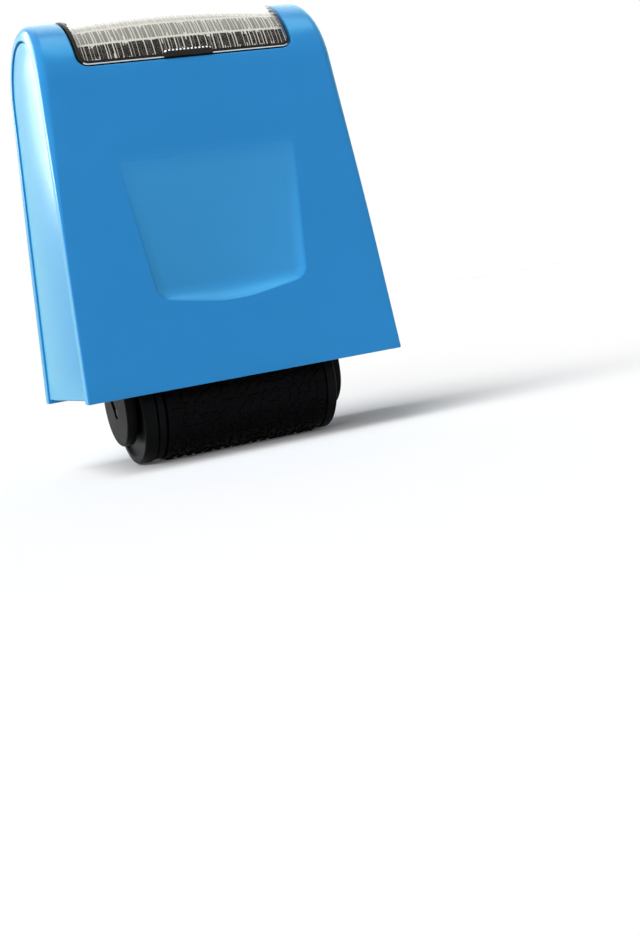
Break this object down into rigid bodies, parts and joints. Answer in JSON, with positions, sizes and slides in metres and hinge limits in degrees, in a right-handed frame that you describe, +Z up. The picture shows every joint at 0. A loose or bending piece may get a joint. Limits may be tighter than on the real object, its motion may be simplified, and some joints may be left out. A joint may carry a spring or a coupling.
{
  "type": "privacy roller stamp",
  "caption": "Hand-held self-inking roller stamp: arched housing with thumb recess and index window, sprung ink roller over a patterned print roller in a pull-out cartridge.",
  "frame": {"origin": "on the surface that the print roller stands on, under the middle of the housing", "axes": "+X along the rollers towards the right when facing the thumb recess, +Y towards the back, +Z up through the arch"},
  "size_m": [0.07, 0.0394, 0.0949],
  "materials": {
    "blue_plastic": "glossy moulded plastic",
    "clear_plastic": "clear polished plastic",
    "card": "matte printed card",
    "black_plastic": "semi-gloss moulded plastic",
    "bush_plastic": "natural acetal",
    "rubber": "inked stamp rubber",
    "felt": "ink-soaked felt",
    "dark_steel": "blackened steel",
    "spring_steel": "drawn spring wire",
    "screw_steel": "zinc plated"
  },
  "bodies": {
    "housing": {"housing_shell": "blue_plastic", "left_side_cover": "blue_plastic", "right_side_cover": "blue_plastic", "index_card": "card", "chassis": "black_plastic", "chassis_screw_1": "screw_steel", "chassis_screw_2": "screw_steel", "chassis_screw_3": "screw_steel", "chassis_screw_4": "screw_steel"},
    "window": {"index_window": "clear_plastic"},
    "cartridge": {"cartridge_frame": "black_plastic", "cartridge_cap": "black_plastic", "print_axle": "dark_steel", "left_ink_spring": "spring_steel", "right_ink_spring": "spring_steel"},
    "print_roller": {"print_core": "black_plastic", "print_sleeve": "rubber", "left_flange": "black_plastic", "right_flange": "black_plastic", "roller_collar": "black_plastic", "left_bush": "bush_plastic", "right_bush": "bush_plastic"},
    "ink_carriage": {"ink_axle": "dark_steel", "left_ink_block": "bush_plastic", "right_ink_block": "bush_plastic"},
    "ink_roller": {"ink_core": "bush_plastic", "ink_felt": "felt"}
  },
  "joints": [
    {"name": "window_lift", "type": "slide", "parent": "housing", "child": "window", "axis": [0, 0, 1], "range_m": [0, 0.015]},
    {"name": "cartridge_slide", "type": "slide", "parent": "housing", "child": "cartridge", "axis": [0, 0, -1], "range_m": [0, 0.036]},
    {"name": "print_roller_spin", "type": "hinge", "parent": "cartridge", "child": "print_roller", "pos_m": [0, 0, 0.012], "axis": [1, 0, 0], "continuous": true},
    {"name": "ink_roller_float", "type": "slide", "parent": "cartridge", "child": "ink_carriage", "axis": [0, 0, 1], "range_m": [0, 0.0012], "stiffness_N_per_m": 400, "springref_m": -0.002, "deforming": ["left_ink_spring", "right_ink_spring"]},
    {"name": "ink_roller_spin", "type": "hinge", "parent": "ink_carriage", "child": "ink_roller", "pos_m": [0, 0, 0.0343], "axis": [1, 0, 0], "continuous": true}
  ],
  "couplings": [
    {"joint": "ink_roller_spin", "follows": "print_roller_spin", "ratio": -1.2}
  ]
}
